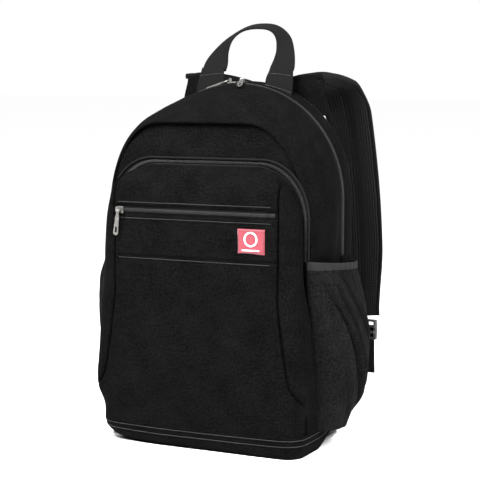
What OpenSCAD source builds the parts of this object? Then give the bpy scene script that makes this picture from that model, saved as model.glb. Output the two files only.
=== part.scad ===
/* [Bag] */
// Width of the back panel
bag_w = 301; // [296:1:304]
// Width of the front panel
front_w = 296; // [290:1:300]
// Depth from the organiser's face to the back panel
bag_d = 174; // [164:1:190]
// Height of the front panel's top edge
front_h = 426; // [420:1:434]
// Depth of the organiser pocket
organiser_d = 40; // [34:1:44]
// Height of the hem band round the base
hem_h = 28; // [22:1:34]
// Thickness of the padded fabric walls
wall = 3; // [2.5:0.5:4]

/* [Main zipper] */
// Radius of the arch that the main zipper follows
arch_r = 152; // [150:1:154]
// Height of the arch's centre
arch_z = 324; // [318:1:330]
// Width of the zipper's tape and coil
zipper_w = 12; // [11:0.5:13]
// Height of the line that the lid folds forward along
lid_z = 400; // [392:1:406]
// Rest place of the left slider, degrees from the top
left_park = -5.5; // [-8:0.5:-5]
// Rest place of the right slider, degrees from the top
right_park = 1; // [0.5:0.5:3]

/* [Organiser pocket] */
// Height of the organiser's top edge
organiser_h = 379; // [372:1:385]
// Width of the flat face between the princess seams
face_w = 236; // [230:1:240]
// Height of the seam that the flap folds along
fold_z = 251; // [246:1:252]
// Height of the straight zipper on the face
front_zip_z = 311; // [306:1:318]

/* [Side pockets] */
// How far a side pocket bulges from the bag
bulge = 28; // [22:1:30]
// Height of a side pocket's elastic edge
pocket_h = 252; // [244:1:258]
// How far the elastic edge tilts down towards the back, degrees
pocket_tilt = 5; // [0:1:8]

/* [Handle and straps] */
// Spacing of the haul handle's legs
handle_gap = 104; // [96:1:108]
// Height of the haul handle's top
handle_h = 562; // [550:1:570]
// How far the haul handle leans back at rest, degrees
handle_lean = 30; // [20:1:36]
// Width of the webbing
webbing_w = 25; // [22:1:28]
// Width of a shoulder strap
strap_w = 62; // [56:1:64]
// Distance of each shoulder strap from the middle
strap_x = 82; // [78:1:84]
// Thickness of a shoulder strap's padding
strap_t = 14; // [10:1:16]

/* [Hidden] */
$fn = 64;

canvas = [0.11, 0.11, 0.12];
mesh_black = [0.16, 0.16, 0.17];
lining_grey = [0.3, 0.3, 0.32];
elastic_grey = [0.24, 0.24, 0.25];
nickel = [0.72, 0.71, 0.68];
plastic = [0.09, 0.09, 0.1];
label_red = [0.6, 0.08, 0.13];

gap = 0.3;                        // clearance between bodies
skin = 0.1;                       // thickness of the slices that a shell is lofted from
face_y = -bag_d / 2;              // organiser's front face
back_y = bag_d / 2;               // back panel's outer face
panel_y = face_y + organiser_d;   // front panel's outer face
rim_y = panel_y - wall;           // organiser's rim, on the arc zipper
track_y = 50.2;                   // middle of the main zipper
lid_back_y = track_y - zipper_w / 2 - 0.2;
strip_y = track_y + zipper_w / 2;
zipper_end_z = 245;
back_r = bag_w / 2;
back_z = arch_z + 4;
fold_gap = 0.6;
track_step = 2;                   // the zipper stands this far proud of the gusset
handle_y = 70;
hinge_z = 493;                    // handle's fold line
root_y = 91;                      // shoulder straps' seam
root_z = 479;
yoke_z = 438;
lock_y = 224;
lock_z = 106;
splay = 5.3;                      // how far a shoulder strap leans outwards, degrees
lock_x = strap_x + (root_z - lock_z) * tan(splay);
pin_h = 5;                        // a slider's pin above its base
pull_l = 34;

// Outlines in the X-Z plane, each taken in by an inset
module front_outline(inset) {
    corner_w = 88;
    corner_h = 140;
    hull() {
        for (s = [-1, 1])
            translate([s * (front_w / 2 - corner_w), front_h - corner_h])
                scale([(corner_w - inset) / (corner_h - inset), 1]) circle(r = corner_h - inset);
        translate([inset - front_w / 2, hem_h]) square([front_w - 2 * inset, 1]);
    }
}

module arch_outline(radius, centre_z, inset) {
    hull() {
        translate([0, centre_z]) circle(r = radius - inset);
        translate([inset - radius, hem_h]) square([2 * (radius - inset), 1]);
    }
}

module organiser_outline(half_w, top, inset) {
    corner_w = 66;
    corner_h = 74;
    hull() {
        for (s = [-1, 1])
            translate([s * (half_w - corner_w), top - corner_h])
                scale([(corner_w - inset) / (corner_h - inset), 1]) circle(r = corner_h - inset);
        translate([inset - half_w, hem_h]) square([2 * (half_w - inset), 1]);
    }
}

// A plate of an X-Z outline, from y to y + thickness
module plate(y, thickness) {
    translate([0, y + thickness, 0]) rotate([90, 0, 0]) linear_extrude(thickness) children();
}

module footprint(inset) {
    front_r = 36 - inset;
    rear_r = 26 - inset;
    hull() {
        for (s = [-1, 1]) {
            translate([s * (front_w / 2 - 36), face_y + 36]) circle(r = front_r);
            translate([s * (front_w / 2 - 26), back_y - 26]) circle(r = rear_r);
        }
    }
}

module box_between(low, high) {
    translate(low) cube(high - low);
}

// Loft between the front panel and the main zipper
module front_loft_shell() {
    difference() {
        hull() {
            plate(panel_y + wall, skin) front_outline(0);
            plate(lid_back_y - skin, skin) arch_outline(arch_r, arch_z, track_step);
        }
        hull() {
            plate(panel_y + wall - 1, 1) front_outline(wall);
            plate(lid_back_y, 1) arch_outline(arch_r, arch_z, wall + track_step);
        }
        box_between([-200, -200, 0], [200, 200, hem_h + wall + 1]);
    }
}

module back_loft(inset, front, back) {
    hull() {
        plate(front, skin) arch_outline(arch_r, arch_z, inset);
        plate(back - skin, skin) arch_outline(back_r, back_z, inset);
    }
}

module base_panel() {
    color(canvas) linear_extrude(4) footprint(wall);
}

module hem_band() {
    color(canvas) linear_extrude(hem_h) difference() {
        footprint(0);
        footprint(wall);
    }
}

module base_stiffener() {
    color(lining_grey) translate([0, 0, 4]) linear_extrude(2.5) footprint(wall + 6);
}

module front_panel() {
    color(canvas) intersection() {
        plate(panel_y, wall) front_outline(0);
        box_between([-200, -200, 0], [200, 200, lid_z - fold_gap / 2]);
    }
}

module gusset_right() {
    color(canvas) intersection() {
        front_loft_shell();
        box_between([0, -200, 0], [200, 200, lid_z - fold_gap / 2]);
    }
}

module gusset_left() { mirror([1, 0, 0]) gusset_right(); }

// The notch leaves room for the parked sliders' pulls while the lid starts to lift
module lid_panel() {
    color(canvas) difference() {
        intersection() {
            union() {
                plate(panel_y, wall) front_outline(0);
                front_loft_shell();
            }
            box_between([-200, -200, lid_z + fold_gap / 2], [200, 200, 500]);
        }
        box_between([-72, 12, arch_z], [50, 200, 500]);
    }
}

module main_zipper() {
    color(elastic_grey) intersection() {
        plate(track_y - zipper_w / 2, zipper_w) difference() {
            arch_outline(arch_r, arch_z, 0);
            arch_outline(arch_r, arch_z, wall);
        }
        box_between([-200, -200, zipper_end_z], [200, 200, 500]);
    }
}

module back_gusset() {
    color(canvas) difference() {
        back_loft(0, lid_back_y + 0.2, back_y - wall);
        back_loft(wall, lid_back_y - 1, back_y);
        box_between([-200, -200, 0], [200, 200, hem_h]);
        box_between([-200, 0, zipper_end_z], [200, strip_y, 500]);
        box_between([wall - arch_r, 0, 0], [arch_r - wall, 200, hem_h + wall + 2]);
    }
}

module back_panel() {
    color(mesh_black) plate(back_y - wall, wall) arch_outline(back_r, back_z, 0);
}

module back_foam() {
    color(lining_grey) intersection() {
        plate(back_y - wall - 6, 6) arch_outline(back_r, back_z, wall + 8);
        box_between([-200, 0, hem_h + 4], [200, 200, 500]);
    }
}

sleeve_w = 240;
sleeve_d = 24;
sleeve_top = 300;
sleeve_y = back_y - wall - 6 - sleeve_d;

module laptop_sleeve() {
    color(lining_grey) difference() {
        box_between([-sleeve_w / 2, sleeve_y, hem_h + 6], [sleeve_w / 2, sleeve_y + sleeve_d, sleeve_top]);
        box_between([4 - sleeve_w / 2, sleeve_y + 4, hem_h + 10],
            [sleeve_w / 2 - 4, sleeve_y + sleeve_d + 1, sleeve_top + 1]);
    }
}

module sleeve_strap() {
    strap_top = 322;
    color(plastic) difference() {
        box_between([-19, sleeve_y - 2, 262], [19, sleeve_y + sleeve_d, strap_top]);
        box_between([-20, sleeve_y, 261], [20, sleeve_y + sleeve_d + 1, strap_top - 2]);
    }
}

// Organiser pocket: a loft from its rim on the front panel to its flat face
half_rim = front_w / 2 - 11;

module organiser_loft(inset) {
    face_top = 332;
    hull() {
        plate(rim_y - skin - gap, skin) organiser_outline(half_rim, organiser_h - 8, inset);
        plate(face_y + inset, skin) intersection() {
            organiser_outline(face_w / 2 + 4, face_top + 14, inset + 4);
            translate([-200, hem_h]) square([400, face_top - hem_h - inset]);
        }
    }
}

// A symmetric outline given by its right side, from the bottom up, taken in at the sides
module mirrored_outline(side, inset) {
    polygon([for (p = side) [p[0] - inset, p[1]],
        for (i = [len(side) - 1:-1:0]) [inset - side[i][0], side[i][1]]]);
}

// Narrow at its top, where the slider's pull hangs beside it
module organiser_base_loft(inset) {
    top = fold_z - fold_gap / 2;
    hull() {
        plate(rim_y - skin - gap, skin) mirrored_outline([[front_w / 2, hem_h], [front_w / 2, top - 66],
            [half_rim, top - 30], [half_rim, top]], inset);
        plate(face_y + inset, skin) mirrored_outline([[front_w / 2 - 22, hem_h], [face_w / 2, 92],
            [face_w / 2, top]], inset);
    }
}

module organiser_lower() {
    color(canvas) difference() {
        organiser_base_loft(0);
        hull() {
            organiser_base_loft(wall);
            translate([0, wall, 0]) organiser_base_loft(wall);
        }
    }
}

module organiser_flap() {
    color(canvas) intersection() {
        difference() {
            organiser_loft(0);
            hull() {
                organiser_loft(wall);
                translate([0, wall, 0]) organiser_loft(wall);
            }
        }
        box_between([-200, -200, fold_z + fold_gap / 2], [200, 0, 400]);
    }
}

module organiser_zipper() {
    color(elastic_grey) intersection() {
        plate(rim_y, wall) difference() {
            organiser_outline(front_w / 2 - 2, organiser_h, 0);
            organiser_outline(front_w / 2 - 2, organiser_h, 14);
        }
        box_between([-200, -200, fold_z + fold_gap / 2], [200, 0, 400]);
    }
}

module pen_pockets() {
    pen_w = 180;
    color(lining_grey) {
        box_between([-pen_w / 2, rim_y - 3, 70], [pen_w / 2, rim_y, 210]);
        for (x = [-pen_w / 2, -30, 0, 30, pen_w / 2 - 2])
            box_between([x, rim_y, 70], [x + 2, panel_y, 210]);
    }
}

module front_zipper() {
    color(elastic_grey) box_between([-face_w / 2 + 3, face_y - 1.6, front_zip_z - 6],
        [face_w / 2 - 3, face_y, front_zip_z + 6]);
}

module front_pocket_lining() {
    lining_w = 200;
    color(lining_grey) plate(face_y + wall, 3)
        mirrored_outline([[lining_w / 2, 256], [lining_w / 2, 298], [lining_w / 2 - 12, 320]], 0);
}

module label() {
    label_w = 38;
    label_h = 32;
    label_x = 82;
    color(label_red) translate([label_x - label_w / 2, face_y - 1.2, fold_z + 10])
        cube([label_w, 1.2, label_h]);
}

// Side pocket outline seen from above, on the right side
module pocket_plan(out, inset) {
    polygon([[front_w / 2 + 0.6, panel_y + 4 + inset], [front_w / 2 + out - inset, panel_y + 30 + inset],
        [front_w / 2 + out - inset, back_y - 26 - inset], [back_r + 0.6, back_y - 4 - inset]]);
}

// A side pocket's top edge drops towards the back
module tilted_top() {
    translate([0, panel_y, pocket_h]) rotate([-pocket_tilt, 0, 0]) translate([0, -panel_y, -12]) children();
}

module pocket_loft(inset) {
    hull() {
        translate([0, 0, hem_h + inset]) linear_extrude(skin) pocket_plan(bulge * 0.6, inset);
        translate([0, 0, 110]) linear_extrude(60) pocket_plan(bulge + 4, inset);
        tilted_top() translate([0, 0, -skin]) linear_extrude(skin) pocket_plan(bulge * 0.72, inset);
    }
}

module side_pocket_right() {
    color(canvas) difference() {
        pocket_loft(0);
        hull() {
            pocket_loft(2.5);
            translate([-2, 0, 0]) pocket_loft(2.5);
        }
        back_loft(-skin, lid_back_y + 0.2, back_y - wall);
    }
}

module side_pocket_left() { mirror([1, 0, 0]) side_pocket_right(); }

module pocket_elastic_right() {
    color(elastic_grey) difference() {
        tilted_top() linear_extrude(12) difference() {
            pocket_plan(bulge * 0.72, 0);
            pocket_plan(bulge * 0.72, 2.5);
            translate([-2, 0]) pocket_plan(bulge * 0.72, 2.5);
        }
        back_loft(-skin, lid_back_y + 0.2, back_y - wall);
    }
}

module pocket_elastic_left() { mirror([1, 0, 0]) pocket_elastic_right(); }

// Stitched patch that holds a leg of the haul handle
module handle_anchor_right() {
    anchor_w = 40;
    anchor_h = hinge_z - 2 - 450;
    color(canvas) difference() {
        translate([handle_gap / 2 - anchor_w / 2, handle_y - 9, 450]) cube([anchor_w, 18, anchor_h]);
        back_loft(-skin, lid_back_y + 0.2, back_y - wall);
    }
}

module handle_anchor_left() { mirror([1, 0, 0]) handle_anchor_right(); }

module haul_handle() {
    band = 4;
    leg_top = 514;
    half = handle_gap / 2;
    rise = handle_h - leg_top;
    color(canvas) translate([0, handle_y, hinge_z]) rotate([-handle_lean, 0, 0]) {
        for (s = [-1, 1])
            translate([s * half - webbing_w / 2, -band / 2, 0.6])
                cube([webbing_w, band, leg_top - hinge_z - 0.6]);
        translate([0, webbing_w / 2 - 2, leg_top - 8 - hinge_z]) rotate([90, 0, 0])
            linear_extrude(webbing_w - 4) difference() {
                scale([(half + band) / (rise + 8), 1]) circle(r = rise + 8);
                scale([(half - band) / (rise + 8 - band), 1]) circle(r = rise + 8 - band);
                translate([-100, -100]) square([200, 100]);
            }
    }
}

// Shoulder strap: its middle line in the Y-Z plane is two cubic curves
function bezier(p, t) = pow(1 - t, 3) * p[0] + 3 * pow(1 - t, 2) * t * p[1]
    + 3 * (1 - t) * pow(t, 2) * p[2] + pow(t, 3) * p[3];
shoulder = [[root_y, root_z], [150, 486], [240, 494], [233, 380]];
hang = [[233, 380], [231, 310], [230, 220], [lock_y, 138.5]];
steps = 12;
middle = [for (i = [0:steps]) bezier(shoulder, i / steps), for (i = [1:steps]) bezier(hang, i / steps)];
function side_point(i, offset) = let (
    a = middle[max(i - 1, 0)],
    b = middle[min(i + 1, 2 * steps)],
    along = (b - a) / norm(b - a)
) middle[i] + offset * [-along[1], along[0]];

module strap(side) {
    outline = [for (i = [0:2 * steps]) side_point(i, strap_t / 2),
        for (i = [2 * steps:-1:0]) side_point(i, -strap_t / 2)];
    color(mesh_black) translate([side * strap_x, 0, root_z]) rotate([0, -side * splay, 0])
        translate([-strap_w / 2, 0, -root_z]) rotate([90, 0, 90]) linear_extrude(strap_w) polygon(outline);
}

module strap_left() { strap(-1); }
module strap_right() { strap(1); }

module strap_yoke() {
    yoke_w = 2 * strap_x + strap_w;
    color(canvas) intersection() {
        plate(back_y, 5) arch_outline(back_r, back_z, 4);
        box_between([-yoke_w / 2, 0, yoke_z - 30], [yoke_w / 2, 200, yoke_z]);
    }
}

// Padded end of a shoulder strap, sewn down under the yoke and standing up behind the bag
module strap_root(side) {
    color(canvas) translate([side * strap_x - strap_w / 2, back_y + gap, yoke_z])
        cube([strap_w, strap_t - 2, root_z - 11 - yoke_z]);
}

module strap_root_left() { strap_root(-1); }
module strap_root_right() { strap_root(1); }

module back_pad(side) {
    pad_w = 92;
    color(mesh_black) plate(back_y, 10) translate([side * 62, 250]) hull() {
        for (x = [-1, 1], z = [-1, 1]) translate([x * (pad_w / 2 - 22), z * 128]) circle(r = 22);
    }
}

module back_pad_left() { back_pad(-1); }
module back_pad_right() { back_pad(1); }

lock_w = 36;

module ladder_lock(side) {
    lock_h = 30;
    color(plastic) translate([side * lock_x, lock_y, lock_z]) difference() {
        translate([-lock_w / 2, -4, 0]) cube([lock_w, 8, lock_h]);
        for (z = [4, 13, 22]) translate([-webbing_w / 2 - 1, -5, z]) cube([webbing_w + 2, 10, 4]);
    }
}

module ladder_lock_left() { ladder_lock(-1); }
module ladder_lock_right() { ladder_lock(1); }

anchor_x = 126;
anchor_z = 52;

module webbing(side) {
    color(canvas) hull() {
        translate([side * lock_x - webbing_w / 2, lock_y - 3, lock_z - 3.5]) cube([webbing_w, 2, 2]);
        translate([side * anchor_x - webbing_w / 2, back_y + 12, anchor_z + 8]) cube([webbing_w, 2, 2]);
    }
}

module webbing_left() { webbing(-1); }
module webbing_right() { webbing(1); }

module webbing_tail(side) {
    color(canvas) translate([side * lock_x - webbing_w / 2, lock_y + 5, lock_z - 50])
        cube([webbing_w, 1.8, 62]);
}

module webbing_tail_left() { webbing_tail(-1); }
module webbing_tail_right() { webbing_tail(1); }

// Sewn triangular tab at the bag's lower back corner
module anchor_tab_right() {
    color(canvas) plate(back_y, 6) polygon([
        [anchor_x - 16, anchor_z - 20], [anchor_x + 18, anchor_z - 20], [anchor_x + 18, anchor_z + 20],
        [anchor_x + 4, anchor_z + 16], [anchor_x - 12, anchor_z]]);
}

module anchor_tab_left() { mirror([1, 0, 0]) anchor_tab_right(); }

// Zipper slider: travels along X, its width along Y, its back up Z, with the pin turned by yaw
module slider(yaw) {
    color(nickel) {
        linear_extrude(1.8) polygon([[-6, -3.4], [-2, -4.6], [6, -4.6], [6, 4.6], [-2, 4.6], [-6, 3.4]]);
        rotate([0, 0, yaw]) {
            for (s = [-1, 1]) translate([-1.5, s * 2.8 - 0.6, 1]) cube([3, 1.2, pin_h + 0.2]);
            translate([0, 3, pin_h]) rotate([90, 0, 0]) cylinder(r = 0.8, h = 6, $fn = 24);
        }
    }
}

// Pull: a slotted tapering bar with an eye round the slider's pin
module pull(yaw, droop) {
    color(nickel) translate([0, 0, pin_h]) rotate([0, 0, yaw]) rotate([0, droop, 0]) difference() {
        union() {
            translate([0, 1.8, 0]) rotate([90, 0, 0]) cylinder(r = 2.1, h = 3.6, $fn = 24);
            translate([0, 0, -0.8]) linear_extrude(1.6) {
                polygon([[0, -1.8], [5, -1.8], [8, -2.6], [pull_l - 3, -3.7],
                    [pull_l - 3, 3.7], [8, 2.6], [5, 1.8], [0, 1.8]]);
                translate([pull_l - 3.7, 0]) circle(r = 3.7);
            }
        }
        translate([0, 3, 0]) rotate([90, 0, 0]) cylinder(r = 1.2, h = 6, $fn = 24);
        translate([pull_l - 11, -1.5, -2]) cube([7, 3, 4]);
    }
}

module on_arch(angle) {
    translate([0, track_y, arch_z]) rotate([0, angle, 0]) translate([0, 0, arch_r + gap]) children();
}

module on_organiser() {
    translate([4.8 - front_w / 2, rim_y - gap, 260]) rotate([90, 0, 0]) rotate([0, 0, 90]) children();
}

module on_face() {
    translate([-face_w / 2 + 10, face_y - 1.6 - gap, front_zip_z]) rotate([90, 0, 0]) children();
}

left_yaw = 212;
right_yaw = -70;
hang_yaw = -98;
main_droop = 15;

module main_slider_left() { on_arch(left_park) slider(left_yaw); }
module main_pull_left() { on_arch(left_park) pull(left_yaw, main_droop); }
module main_slider_right() { on_arch(right_park) slider(right_yaw); }
module main_pull_right() { on_arch(right_park) pull(right_yaw, main_droop); }
module organiser_slider() { on_organiser() slider(180); }
module organiser_pull() { on_organiser() pull(180, 0); }
module front_slider() { on_face() slider(hang_yaw); }
module front_pull() { on_face() pull(hang_yaw, 2); }

base_panel();
hem_band();
base_stiffener();
front_panel();
gusset_left();
gusset_right();
main_zipper();
back_gusset();
back_panel();
back_foam();
laptop_sleeve();
sleeve_strap();
organiser_lower();
organiser_zipper();
pen_pockets();
side_pocket_left();
side_pocket_right();
pocket_elastic_left();
pocket_elastic_right();
handle_anchor_left();
handle_anchor_right();
strap_yoke();
strap_root_left();
strap_root_right();
back_pad_left();
back_pad_right();
anchor_tab_left();
anchor_tab_right();
lid_panel();
organiser_flap();
front_zipper();
front_pocket_lining();
label();
main_slider_left();
main_pull_left();
main_slider_right();
main_pull_right();
organiser_slider();
organiser_pull();
front_slider();
front_pull();
haul_handle();
strap_left();
strap_right();
ladder_lock_left();
ladder_lock_right();
webbing_left();
webbing_right();
webbing_tail_left();
webbing_tail_right();
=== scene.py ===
import math

import bpy
import numpy as np
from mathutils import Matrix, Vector, noise


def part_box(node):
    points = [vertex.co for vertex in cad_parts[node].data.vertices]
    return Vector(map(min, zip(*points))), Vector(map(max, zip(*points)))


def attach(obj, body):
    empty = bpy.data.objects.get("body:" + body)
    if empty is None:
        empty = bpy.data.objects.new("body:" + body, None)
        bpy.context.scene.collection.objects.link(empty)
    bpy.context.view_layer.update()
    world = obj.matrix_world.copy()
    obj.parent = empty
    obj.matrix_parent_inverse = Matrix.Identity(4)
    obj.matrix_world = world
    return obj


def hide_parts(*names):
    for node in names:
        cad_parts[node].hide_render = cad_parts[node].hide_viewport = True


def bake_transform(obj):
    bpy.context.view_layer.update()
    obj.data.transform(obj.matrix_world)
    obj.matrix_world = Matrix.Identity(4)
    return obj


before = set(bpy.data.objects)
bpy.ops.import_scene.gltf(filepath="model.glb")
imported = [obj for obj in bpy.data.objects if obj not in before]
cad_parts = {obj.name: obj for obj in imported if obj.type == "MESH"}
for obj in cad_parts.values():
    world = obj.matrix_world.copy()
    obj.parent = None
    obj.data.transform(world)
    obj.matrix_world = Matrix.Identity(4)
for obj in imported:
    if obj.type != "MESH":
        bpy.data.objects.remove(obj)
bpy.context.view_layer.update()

MM = 0.001


# ---------------------------------------------------------------- sizes, from the frame

low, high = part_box("hem_band")
HALF_W, FACE_Y, BACK_Y, HEM_H = high.x, low.y, high.y, high.z
PANEL_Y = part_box("front_panel")[0].y
RIM_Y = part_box("organiser_zipper")[0].y
ORGANISER_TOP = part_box("organiser_zipper")[1].z
FOLD_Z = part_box("organiser_lower")[1].z + 0.3 * MM
LID_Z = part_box("front_panel")[1].z + 0.3 * MM
low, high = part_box("main_zipper")
ZIP_FRONT, ZIP_BACK, ZIP_END_Z = low.y, high.y, low.z
ARCH_R, ARCH_Z = high.x, high.z - high.x
low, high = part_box("back_panel")
BACK_R, BACK_Z = high.x, high.z - high.x
low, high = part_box("front_zipper")
FRONT_ZIP_Z = (low.z + high.z) / 2
SEAM_X = high.x + 3 * MM                           # princess seams
CANVAS = 1.6 * MM                                  # thickness of the body's cloth
WEBBING_W = 25 * MM
POCKET_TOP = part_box("pocket_elastic_right")[1].z - 0.5 * MM
ELASTIC_H = 12 * MM
POCKET_DROP = 11 * MM                              # the elastic edge is lower at the back
FRONT_TOP = LID_Z + 26 * MM                        # front panel's top edge
FRONT_CORNERS = ((74 * MM, 124 * MM), (92 * MM, 168 * MM))   # left and right; the load leans to the left
ORGANISER_CORNER = (66 * MM, 74 * MM)


# Directions: towards the right side, the front and the top
RIGHTWARD, FORWARD, UPWARD = np.eye(3) * (1, -1, 1)


# ---------------------------------------------------------------- camera, light and floor

def make_camera():
    azimuth, pitch = math.radians(26), math.radians(6.23)
    data = bpy.data.cameras.new("camera")
    data.lens = 112.5
    data.sensor_width = 36
    data.clip_end = 50
    camera = bpy.data.objects.new("camera", data)
    camera.location = (0.8953, -1.7859, 0.4851)
    camera.rotation_euler = (math.pi / 2 - pitch, 0, azimuth)
    bpy.context.collection.objects.link(camera)
    bpy.context.scene.camera = camera


def area_light(name, place, aim, size, power):
    data = bpy.data.lights.new(name, "AREA")
    data.shape = "SQUARE"
    data.size = size
    data.energy = power
    light = bpy.data.objects.new(name, data)
    light.location = place
    light.rotation_euler = (Vector(aim) - Vector(place)).to_track_quat("-Z", "Y").to_euler()
    bpy.context.collection.objects.link(light)


def make_studio():
    area_light("key", (2.1, -0.8, 1.9), (0, 0, 0.25), 1.0, 130)
    area_light("fill", (-1.7, -1.5, 1.6), (0, 0, 0.25), 1.4, 6)
    area_light("top", (0.0, -0.3, 2.6), (0, 0.05, 0.3), 1.4, 16)
    area_light("upper_front", (-0.1, -0.75, 1.1), (0, -0.05, 0.44), 0.6, 46)
    area_light("rear", (0.8, 2.0, 1.2), (0, 0.1, 0.3), 1.2, 8)
    world = bpy.data.worlds.new("studio")
    bpy.context.scene.world = world
    world.use_nodes = True
    world.node_tree.nodes["Background"].inputs["Color"].default_value = (1, 1, 1, 1)
    world.node_tree.nodes["Background"].inputs["Strength"].default_value = 1.0
    bpy.context.scene.view_settings.view_transform = "Standard"
    bpy.ops.mesh.primitive_plane_add(size=60, location=(0, 0, -0.5 * MM))
    floor = bpy.context.object
    floor.name = "floor"
    paint = bpy.data.materials.new("floor")
    paint.use_nodes = True
    shader = paint.node_tree.nodes["Principled BSDF"]
    shader.inputs["Base Color"].default_value = (0.985, 0.985, 0.985, 1)
    shader.inputs["Roughness"].default_value = 0.9
    shader.inputs["Specular IOR Level"].default_value = 0.1
    floor.data.materials.append(paint)


# ---------------------------------------------------------------- materials

class Nodes:
    """Short way to add shader nodes and link them."""

    def __init__(self, name, numbers=()):
        self.material = bpy.data.materials.new(name)
        self.material.use_nodes = True
        self.tree = self.material.node_tree
        self.shader = self.tree.nodes["Principled BSDF"]
        for key, value in dict(numbers).items():
            self.shader.inputs[key].default_value = value

    def put(self, socket, value):
        """Links a socket to another one, or sets its own number or colour."""
        if isinstance(value, bpy.types.NodeSocket):
            self.tree.links.new(value, socket)
        else:
            socket.default_value = value

    def add(self, kind, inputs=(), **settings):
        node = self.tree.nodes.new(kind)
        for key, value in settings.items():
            setattr(node, key, value)
        for key, value in dict(inputs).items():
            self.put(node.inputs[key], value)
        return node

    def cloth_place(self):
        """Place on the cloth in metres: as a vector, along it and down it."""
        where = self.add("ShaderNodeUVMap").outputs[0]
        split = self.add("ShaderNodeSeparateXYZ", {0: where})
        return where, split.outputs[0], split.outputs[1]

    def solid_place(self):
        return self.add("ShaderNodeTexCoord").outputs["Object"]

    def math(self, operation, a, b=0.0):
        return self.add("ShaderNodeMath", {0: a, 1: b}, operation=operation).outputs[0]

    def plus(self, a, b):
        return self.math("ADD", a, b)

    def times(self, a, b):
        return self.math("MULTIPLY", a, b)

    def line(self, value, gain, start):
        return self.plus(self.times(value, gain), start)

    def wave(self, value, period, kind="SINE"):
        return self.math(kind, self.times(value, 2 * math.pi / period))

    def mix(self, share, a, b):
        return self.add("ShaderNodeMix", {0: share, 6: a, 7: b}, data_type="RGBA").outputs[2]

    def noise(self, where, scale, detail=2.0, rough=0.6):
        inputs = {"Vector": where, "Scale": scale, "Detail": detail, "Roughness": rough}
        return self.add("ShaderNodeTexNoise", inputs).outputs["Fac"]

    def surface(self, colour, roughness, height, bump, depth):
        node = self.add("ShaderNodeBump", {"Height": height, "Strength": bump, "Distance": depth})
        for key, value in (("Base Color", colour), ("Roughness", roughness), ("Normal", node.outputs[0])):
            self.put(self.shader.inputs[key], value)
        return self.material


def grey(value, warmth=0.0):
    return (value * (1 + warmth), value, value * (1 - warmth), 1)


def canvas_material(name="canvas", base=0.0029, yarn=0.9 * MM, sheen=0.002):
    """Black plain-weave canvas: slubby yarns, faint heather, dust, and painted shade in the weave's low
    places, with its high places painted lighter.
    """
    n = Nodes(name, {"Sheen Weight": sheen, "Specular IOR Level": 0.008})
    where, x, y = n.cloth_place()
    across, along = n.wave(x, 2 * yarn), n.wave(y, 2 * yarn)
    ribs = n.plus(n.math("ABSOLUTE", across), n.math("ABSOLUTE", along))
    height = n.plus(n.times(n.times(across, along), 0.5), n.times(ribs, 0.35))
    slub = n.noise(where, 900, 3.0, 0.7)
    fleck = n.line(n.noise(where, 420, 4.0, 0.75), 2.6, -1.3)
    patch = n.line(n.noise(where, 26, 5.0, 0.7), 0.8, -0.272)
    # Painted shade: the weave's low places are painted darker and its high places lighter, added to the
    # heather and dust tone.
    heather_and_weave_shade = n.plus(n.plus(fleck, patch), n.line(height, 0.12, 0.12))
    colour = n.mix(heather_and_weave_shade, grey(base * 0.2), grey(base * 2.1, 0.01))
    total = n.plus(height, n.times(slub, 0.9))
    return n.surface(colour, n.line(slub, 0.16, 0.74), total, 0.7, 0.35 * MM)


def air_mesh_material():
    """Spacer mesh: staggered round holes in a knitted black face, with painted shade in the holes."""
    n = Nodes("air_mesh", {"Sheen Weight": 0.004, "Specular IOR Level": 0.02})
    where, x, y = n.cloth_place()
    pitch = 4.2 * MM
    holes = n.times(n.wave(x, pitch, "COSINE"), n.wave(y, pitch * 1.7, "COSINE"))
    rim = n.math("SUBTRACT", 0.75, n.math("ABSOLUTE", holes))
    hole = n.math("SMOOTH_MIN", rim, 0.62)
    # Painted shade: the holes are painted almost black for the shade inside them.
    colour = n.mix(hole, grey(0.0003), grey(0.020))
    return n.surface(colour, 0.8, n.plus(hole, n.times(n.noise(where, 1400), 0.25)), 1.0, 1.0 * MM)


def ribbed_material(name, base, pitch, sheen):
    """Woven tape: ribs across it, with a finer yarn along it."""
    n = Nodes(name, {"Sheen Weight": sheen, "Specular IOR Level": 0.03})
    where, x, y = n.cloth_place()
    ribs, yarns = n.wave(x, pitch), n.wave(y, pitch * 0.8)
    height = n.plus(n.times(ribs, 0.6), n.times(n.times(ribs, yarns), 0.4))
    fuzz = n.noise(where, 1100)
    # Painted shade: the low places between the ribs are painted darker, mixed with random fuzz tone.
    share = n.plus(n.times(height, 0.25), n.times(fuzz, 0.9))
    colour = n.mix(share, grey(base * 0.6), grey(base * 1.5))
    return n.surface(colour, n.line(fuzz, 0.2, 0.62), height, 0.6, 0.3 * MM)


def thread_material(name, base):
    n = Nodes(name, {"Sheen Weight": 0.2})
    twist = n.noise(n.solid_place(), 3000, 1.0, 0.5)
    return n.surface(n.mix(twist, grey(base * 0.7), grey(base * 1.4)), 0.55, twist, 0.3, 0.2 * MM)


def coil_material():
    n = Nodes("nylon_coil", {"Specular IOR Level": 0.2})
    wear = n.noise(n.solid_place(), 260, 3.0)
    return n.surface(n.mix(wear, grey(0.008), grey(0.02)), n.line(wear, 0.2, 0.42), wear, 0.15, 0.1 * MM)


def nickel_material():
    """Satin nickel: brushed fine scratches, with duller patches from handling."""
    n = Nodes("nickel", {"Metallic": 1.0})
    where = n.solid_place()
    patch = n.noise(where, 240, 3.0)
    scratch = n.noise(where, 2600, 4.0, 0.8)
    colour = n.mix(patch, (0.10, 0.097, 0.092, 1), (0.34, 0.33, 0.315, 1))
    rough = n.plus(n.times(patch, 0.22), n.line(scratch, 0.12, 0.1))
    return n.surface(colour, rough, scratch, 0.12, 0.05 * MM)


def plastic_material():
    n = Nodes("buckle_plastic")
    where = n.solid_place()
    grain = n.noise(where, 1600, 3.0, 0.7)
    scuff = n.noise(where, 120, 4.0, 0.7)
    return n.surface(n.mix(scuff, grey(0.010), grey(0.024)), n.line(scuff, 0.25, 0.33), grain, 0.25, 0.1 * MM)


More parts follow.
